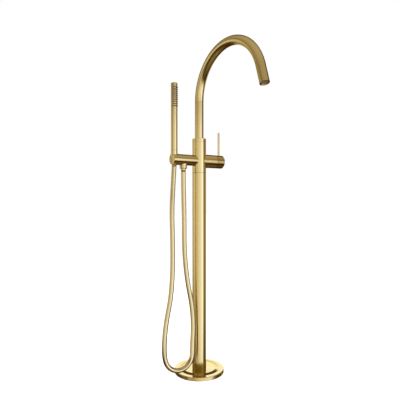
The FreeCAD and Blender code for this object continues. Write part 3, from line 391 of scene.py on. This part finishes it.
def turned_lines(nodes, axis, centre):
    """A place whose noise draws fine rings round a piece's axis, on its walls and its flat faces."""
    place = nodes.add("ShaderNodeTexCoord").outputs["Object"]
    parts = nodes.add("ShaderNodeSeparateXYZ", inputs={0: place}).outputs
    run = parts["XYZ".index(axis)]
    across = [parts[k] for k in range(3) if "XYZ"[k] != axis]
    squares = []
    for part, middle in zip(across, centre):
        aside = nodes.math("SUBTRACT", part, middle)
        squares.append(nodes.math("MULTIPLY", aside, aside))
    radius = nodes.math("SQRT", nodes.math("ADD", *squares))
    slight = nodes.math("MULTIPLY", across[1], LINE_SLANT)
    lines = nodes.add("ShaderNodeCombineXYZ", inputs={0: radius, 1: slight, 2: run}).outputs[0]
    return place, parts, lines


def along(nodes, shader, direction):
    """Gloss drawn out along a direction of the piece, as fine lines across it do."""
    turned = nodes.add(
        "ShaderNodeVectorTransform",
        inputs={0: direction},
        vector_type="VECTOR",
        convert_from="OBJECT",
        convert_to="WORLD",
    )
    nodes.feed(shader.inputs["Tangent"], turned.outputs[0])
    shader.inputs["Anisotropic"].default_value = GLOSS_STRETCH


def gold_surface(nodes, shader, place, lines, roughness, colour, deep):
    """Colour, gloss and relief of satin metal with fine lines."""
    fine = nodes.noise(lines, *FINE_LINES)
    broad = nodes.noise(lines, *BROAD_LINES)
    cloud = nodes.noise(place, *CLOUDS)
    shade = nodes.math("MULTIPLY", fine, FINE_SHARE)
    shade = nodes.math("ADD", shade, nodes.math("MULTIPLY", broad, BROAD_SHARE))
    shade = nodes.math("ADD", shade, nodes.math("MULTIPLY", cloud, CLOUD_SHARE))
    tone = nodes.mix(nodes.spread(shade, 1.0, 0.0, *TONE_SHADES), colour, deep)
    nodes.feed(shader.inputs["Base Color"], tone)
    shader.inputs["Metallic"].default_value = 1.0
    shader.inputs["Specular Tint"].default_value = EDGE_TINT
    rough = nodes.spread(shade, roughness - SMOOTHER, roughness + ROUGHER, *NOISE_MIDDLE)
    nodes.feed(shader.inputs["Roughness"], rough)
    nodes.relief(shader, fine, LINE_RELIEF, LINE_DEPTH)


def brushed_gold(name, axis, centre=(0, 0), roughness=GOLD_ROUGHNESS, colour=GOLD, deep=GOLD_DEEP):
    """Satin gold with fine turned lines round an axis; centre is that axis's place across it."""
    material, nodes, shader = new_material(name)
    place, _, lines = turned_lines(nodes, axis, centre)
    gold_surface(nodes, shader, place, lines, roughness, colour, deep)
    direction = nodes.add("ShaderNodeCombineXYZ", inputs=dict(enumerate(AXES[axis])))
    along(nodes, shader, direction.outputs[0])
    return material


def body_gold():
    """Satin gold for the body: rings round the barrel, and round the housing beyond it."""
    material, nodes, shader = new_material("brushed_gold_body")
    place, parts, upright = turned_lines(nodes, "Z", (0, 0))
    _, _, sideways = turned_lines(nodes, "X", (0, ARM_HEIGHT))
    on_housing = nodes.math("GREATER_THAN", parts[0], HOUSING_START)
    lines = nodes.mix(on_housing, upright, sideways)
    gold_surface(nodes, shader, place, lines, GOLD_ROUGHNESS, GOLD, GOLD_DEEP)
    on_barrel = nodes.math("SUBTRACT", 1.0, on_housing)
    direction = nodes.add("ShaderNodeCombineXYZ", inputs={0: on_housing, 2: on_barrel})
    along(nodes, shader, direction.outputs[0])
    return material


def plain(name, colour, roughness, metallic=0.0, grain=900.0, bump=0.12):
    """A moulded or machined surface: its colour and gloss vary a little, with a fine grain."""
    material, nodes, shader = new_material(name)
    place = nodes.add("ShaderNodeTexCoord").outputs["Object"]
    fine = nodes.noise(place, grain, *GRAIN_NOISE)
    cloud = nodes.noise(place, *PLAIN_CLOUDS)
    darker = [channel * PLAIN_DARKER for channel in colour]
    lighter = [channel * PLAIN_LIGHTER for channel in colour]
    nodes.feed(shader.inputs["Base Color"], nodes.mix(cloud, (*darker, 1), (*lighter, 1)))
    rough = nodes.spread(fine, roughness - PLAIN_SMOOTHER, roughness + PLAIN_ROUGHER, *NOISE_MIDDLE)
    nodes.feed(shader.inputs["Roughness"], rough)
    shader.inputs["Metallic"].default_value = metallic
    nodes.relief(shader, fine, bump, GRAIN_DEPTH)
    return material


def spout_gold():
    """Brushed gold whose lines go round the bent tube: along the riser, then by angle round the bend."""
    material, nodes, shader = new_material("brushed_gold_spout")
    place = nodes.add("ShaderNodeTexCoord").outputs["Object"]
    parts = nodes.add("ShaderNodeSeparateXYZ", inputs={0: place}).outputs
    aside = nodes.math("ADD", parts[1], BEND_RADIUS)
    above = nodes.math("SUBTRACT", parts[2], BEND_START)
    angle = nodes.math("ARCTAN2", above, aside)
    bent = nodes.math("MULTIPLY", angle, BEND_RADIUS)
    on_bend = nodes.math("GREATER_THAN", above, 0.0)
    run = nodes.add("ShaderNodeMix", data_type="FLOAT", inputs={0: on_bend, 2: above, 3: bent})
    side = nodes.math("MULTIPLY", parts[0], SPOUT_LINE_SLANT)
    lines = nodes.add("ShaderNodeCombineXYZ", inputs={0: side, 2: run.outputs[0]})
    gold_surface(nodes, shader, place, lines.outputs[0], GOLD_ROUGHNESS, GOLD, GOLD_DEEP)
    straight = nodes.math("SUBTRACT", 1.0, on_bend)
    leaning = nodes.math("MULTIPLY", nodes.math("SINE", angle), on_bend)
    sideways = nodes.math("MULTIPLY", leaning, -1.0)
    rising = nodes.math("MULTIPLY", nodes.math("COSINE", angle), on_bend)
    upwards = nodes.math("ADD", rising, straight)
    direction = nodes.add("ShaderNodeCombineXYZ", inputs={1: sideways, 2: upwards})
    along(nodes, shader, direction.outputs[0])
    return material


def hose_gold():
    """The smooth hose: gold with the faint spiral of its winding showing through, from its UVs."""
    material, nodes, shader = new_material("gold_hose")
    uv = nodes.add("ShaderNodeTexCoord").outputs["UV"]
    parts = nodes.add("ShaderNodeSeparateXYZ", inputs={0: uv}).outputs
    turns = nodes.math("ADD", nodes.math("MULTIPLY", parts[1], 1 / HOSE_PITCH), parts[0])
    wave = nodes.math("SINE", nodes.math("MULTIPLY", turns, 2 * math.pi))
    place = nodes.add("ShaderNodeTexCoord").outputs["Object"]
    cloud = nodes.noise(place, *HOSE_CLOUDS)
    shade = nodes.math("ADD", nodes.math("MULTIPLY", wave, WINDING_SHARE), cloud)
    tone = nodes.mix(nodes.spread(shade, 0.0, 1.0, *HOSE_SHADES), HOSE_GOLD_DEEP, HOSE_GOLD)
    nodes.feed(shader.inputs["Base Color"], tone)
    shader.inputs["Metallic"].default_value = 1.0
    shader.inputs["Specular Tint"].default_value = HOSE_EDGE_TINT
    nodes.feed(shader.inputs["Roughness"], nodes.spread(cloud, *HOSE_ROUGHNESS, *NOISE_MIDDLE))
    nodes.relief(shader, wave, WINDING_RELIEF, WINDING_DEPTH)
    return material


# ---------------------------------------------------------------- mesh helpers


def new_piece(name, vertices, faces, material, body):
    """A smooth mesh piece that rides on a body, or on none."""
    data = bpy.data.meshes.new(name)
    data.from_pydata([tuple(v) for v in vertices], [], faces)
    data.update()
    piece = bpy.data.objects.new(name, data)
    bpy.context.scene.collection.objects.link(piece)
    data.materials.append(material)
    data.shade_smooth()
    if body:
        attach(piece, body)
    return piece


def frames_along(points):
    """Tangent and two side vectors at each point, carried along without twist."""
    result = []
    side = None
    for i, point in enumerate(points):
        before = points[max(i - 1, 0)]
        after = points[min(i + 1, len(points) - 1)]
        tangent = (after - before).normalized()
        if side is None:
            side = tangent.orthogonal().normalized()
        side = (side - tangent * side.dot(tangent)).normalized()
        result.append((tangent, side, tangent.cross(side)))
    return result


def skin(name, points, radius, sides, material):
    """A closed tube mesh along points, whose UVs run once round it and in metres along it."""
    vertices = []
    faces = []
    for centre, (_, across, over) in zip(points, frames_along(points)):
        for k in range(sides):
            angle = 2 * math.pi * k / sides
            vertices.append(centre + (across * math.cos(angle) + over * math.sin(angle)) * radius)
    last = (len(points) - 1) * sides
    for low in range(0, last, sides):
        for k in range(sides):
            following = (k + 1) % sides
            faces.append((low + k, low + following, low + sides + following, low + sides + k))
    walls = len(faces)
    faces.append(tuple(reversed(range(sides))))
    faces.append(tuple(last + k for k in range(sides)))
    piece = new_piece(name, vertices, faces, material, None)
    run = [0.0]
    for point, following in zip(points, points[1:]):
        run.append(run[-1] + (following - point).length)
    layer = piece.data.uv_layers.new(name="along")
    for polygon in piece.data.polygons[:walls]:
        ring, k = divmod(polygon.index, sides)
        corners = ((k, ring), (k + 1, ring), (k + 1, ring + 1), (k, ring + 1))
        for loop, (around, along_run) in zip(polygon.loop_indices, corners):
            layer.data[loop].uv = (around / sides, run[along_run])
    return piece


# ---------------------------------------------------------------- hose

HOSE_DIAMETER = 0.015
HOSE_SIDES = 32
ROUTE_STEPS = 14
# The places that steer the hose, from the fitting under the arm, round the loop and up to the handset.
HOSE_ROUTE = [
    (-0.0615, 0.0, 0.6569),
    (-0.0615, 0.0, 0.6000),
    (-0.0610, -0.0045, 0.5085),
    (-0.0620, -0.0055, 0.4010),
    (-0.0555, -0.0125, 0.3080),
    (-0.0420, -0.0215, 0.2245),
    (-0.0405, -0.0260, 0.1610),
    (-0.0480, -0.0315, 0.1055),
    (-0.0525, -0.0375, 0.0645),
    (-0.0720, -0.0360, 0.0400),
    (-0.1015, -0.0310, 0.0325),
    (-0.1290, -0.0245, 0.0455),
    (-0.1420, -0.0200, 0.0730),
    (-0.1435, -0.0205, 0.1290),
    (-0.1365, -0.0210, 0.1900),
    (-0.1220, -0.0245, 0.2615),
    (-0.1140, -0.0215, 0.3415),
    (-0.1105, -0.0155, 0.4300),
    (-0.1090, -0.0075, 0.5280),
    (-0.1000, -0.0010, 0.6120),
    (-0.0955, 0.0, 0.6730),
]


def smooth_line(route):
    """Points along the smooth curve that the route's places steer, from its first to its last."""
    data = bpy.data.curves.new("line", "CURVE")
    data.dimensions = "3D"
    data.resolution_u = ROUTE_STEPS
    spline = data.splines.new("NURBS")
    spline.points.add(len(route) - 1)
    for point, place in zip(spline.points, route):
        point.co = (*place, 1)
    spline.order_u = 3
    spline.use_endpoint_u = True
    carrier = bpy.data.objects.new("line", data)
    bpy.context.scene.collection.objects.link(carrier)
    bpy.context.view_layer.update()
    mesh = bpy.data.meshes.new_from_object(carrier)
    points = [vertex.co.copy() for vertex in mesh.vertices]
    bpy.data.objects.remove(carrier)
    bpy.data.curves.remove(data)
    bpy.data.meshes.remove(mesh)
    return points


def add_hose():
    """The hose from the arm's outlet to the handset, standing in for the imported one."""
    points = smooth_line(HOSE_ROUTE)
    hose = skin("hose", points, HOSE_DIAMETER / 2, HOSE_SIDES, hose_gold())
    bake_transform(hose)
    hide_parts("shower_hose")


# ---------------------------------------------------------------- nozzle rows and painted shade in the joint seams

STRIP_FAN = math.radians(62.0)
ALL_ROUND = math.pi
FAN_STEPS = 40
RING_STEPS = 96
HANDSET_SEAM = 0.8533
# A strip's or seam's outline across its run: (height over its middle, radius over the surface it lies on).
STRIP = [
    (-0.0016, -0.0004), (-0.0015, 0.0004), (-0.0011, 0.0008),
    (0.0011, 0.0008), (0.0015, 0.0004), (0.0016, -0.0004),
]
# The seam band is near black and lies in the joint as painted shade.
SEAM_SHADE_BAND = [(-0.00035, -0.0010), (-0.00035, 0.00002), (0.00035, 0.00002), (0.00035, -0.0010)]


def add_bands(name, centre, radius, heights, outline, fan, material, body, slot):
    """Thin bands round an upright tube: all round it, or over fan radians to each side of -Y."""
    closed = fan >= ALL_ROUND
    steps = RING_STEPS if closed else FAN_STEPS
    vertices = []
    faces = []
    for height in heights:
        first = len(vertices)
        for k in range(steps if closed else steps + 1):
            angle = -math.pi / 2 - fan + 2 * fan * k / steps
            for up, out in outline:
                x = centre[0] + (radius + out) * math.cos(angle)
                y = centre[1] + (radius + out) * math.sin(angle)
                vertices.append((x, y, height + up))
        count = len(outline)
        for k in range(steps):
            low = first + k * count
            high = first + (k + 1) % steps * count if closed else low + count
            for i in range(count):
                after = (i + 1) % count
                faces.append((low + i, high + i, high + after, low + after))
        if not closed:
            faces.append(tuple(first + i for i in range(count)))
            last = first + steps * count
            faces.append(tuple(last + i for i in reversed(range(count))))
    new_piece(name, vertices, faces, material, body)


def add_nozzle_strips_and_seam_shade(joint_shade, silicone):
    """A strip along each row of nozzles, and near-black bands of painted shade in the seam under them and in
    the seam at the column's top.
    """
    rows = [LOW_NOZZLE + NOZZLE_PITCH * k for k in range(NOZZLE_ROWS)]
    handset = ((-SEAT_REACH, 0.0), HANDSET_RADIUS)
    column = ((0.0, 0.0), COLUMN_RADIUS)
    add_bands("nozzle_strips", *handset, rows, STRIP, STRIP_FAN, silicone, "handset", "nozzle_silicone")
    # The two seam bands paint the shade in the handset's joint and in the joint at the column's top.
    add_bands("handset_seam_shade", *handset, [HANDSET_SEAM], SEAM_SHADE_BAND, ALL_ROUND, joint_shade, "handset", "dark_ring")
    add_bands("column_seam_shade", *column, [COLUMN_TOP], SEAM_SHADE_BAND, ALL_ROUND, joint_shade, "root", "dark_ring")


# ---------------------------------------------------------------- dressing

# Metals beside the usual gold: (roughness, colour, deep colour).
# The knob's gold is a darker copy of the usual gold: painted shade.
KNOB_SHADED_METAL = (GOLD_ROUGHNESS, (0.70, 0.50, 0.205, 1), (0.62, 0.43, 0.165, 1))
PIN_METAL = (0.20, GOLD, (0.81, 0.625, 0.270, 1))
BRASS_METAL = (0.30, (0.70, 0.53, 0.27, 1), (0.55, 0.38, 0.17, 1))
COPPER_METAL = (0.32, (0.68, 0.38, 0.24, 1), (0.50, 0.25, 0.15, 1))


def dress():
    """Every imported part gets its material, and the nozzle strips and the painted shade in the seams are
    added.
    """
    upright = brushed_gold("brushed_gold_upright", "Z")
    body = body_gold()
    sideways = brushed_gold("brushed_gold_sideways", "X", (0, ARM_HEIGHT))
    knob = brushed_gold("brushed_gold_knob_shaded", "X", (0, ARM_HEIGHT), *KNOB_SHADED_METAL)
    backward = brushed_gold("brushed_gold_backward", "Y", (0, ARM_HEIGHT))
    handset = brushed_gold("brushed_gold_handset", "Z", (-SEAT_REACH, 0))
    fitting = brushed_gold("brushed_gold_fitting", "Z", (-OUTLET_REACH, 0))
    pin = brushed_gold("brushed_gold_pin", "Z", (PIN_REACH, 0), *PIN_METAL)
    spout = spout_gold()
    bare = brushed_gold("machined_brass", "Z", (0, 0), *BRASS_METAL)
    copper = brushed_gold("drawn_copper", "Z", (0, 0), *COPPER_METAL)
    steel = plain("flange_steel", (0.55, 0.55, 0.56), 0.36, 1.0)
    screw = plain("screw_steel", (0.24, 0.23, 0.22), 0.38, 1.0)
    rubber = plain("seal_rubber", (0.025, 0.025, 0.025), 0.62, 0.0, 2500.0, 0.3)
    # A near-black material that paints shade in the joint seams, and on the trim ring for the gap it stands
    # in.
    joint_shade = plain("dark_ring", (0.045, 0.035, 0.025), 0.50)
    white = plain("cartridge_plastic", (0.72, 0.72, 0.69), 0.38)
    acetal = plain("bush_plastic", (0.78, 0.77, 0.72), 0.34)
    nylon = plain("liner_plastic", (0.05, 0.042, 0.032), 0.48)
    silicone = plain("nozzle_silicone", (0.085, 0.050, 0.028), 0.50, 0.0, 1800.0, 0.2)
    inner = plain("inner_plastic", (0.12, 0.12, 0.125), 0.45)
    aerator = plain("aerator_plastic", (0.30, 0.215, 0.115), 0.40, 0.4)
    choice = {
        "floor_base": steel,
        "column_grub_screws": screw,
        "column_hub": steel,
        "floor_cover": upright,
        "cover_seal": rubber,
        "column_tube": upright,
        "neck_grub_screw": screw,
        "hot_pipe": copper,
        "hot_tail_nut": bare,
        "cold_pipe": copper,
        "cold_tail_nut": bare,
        "mixer_body": body,
        "cartridge": white,
        "cartridge_retainer": bare,
        # The trim ring is near black as painted shade of the gap before the knob.
        "trim_ring": joint_shade,
        "mixer_knob": knob,
        "lever_pin": pin,
        "knob_grub_screw": screw,
        "cartridge_stem": bare,
        "diverter_spool": bare,
        "diverter_bonnet": backward,
        "diverter_knob": backward,
        "spout_ring": upright,
        "spout_bush": acetal,
        "spout_stub": bare,
        "spout_orings": rubber,
        "spout_tube": spout,
        "aerator_housing": spout,
        "aerator_insert": aerator,
        "holder_arm": sideways,
        "holder_liner": nylon,
        "outlet_nipple": bare,
        "check_valve": white,
        "hose_nut": fitting,
        "outlet_washer": rubber,
        "hose_tail": fitting,
        "cone_nut": handset,
        "cone_tail": bare,
        "cone_washer": rubber,
        "handset_body": handset,
        "handset_cap": handset,
        "handset_inlet": bare,
        "handset_waterway": inner,
        "nozzle_mat": silicone,
    }
    for name, material in choice.items():
        data = NODES[name].data
        data.materials.clear()
        data.materials.append(material)
    add_nozzle_strips_and_seam_shade(joint_shade, silicone)


add_camera()
surroundings()
add_stage()
for lamp_row in LAMPS:
    add_lamp(*lamp_row)
add_hose()
dress()

bpy.context.scene.view_settings.view_transform = "Standard"
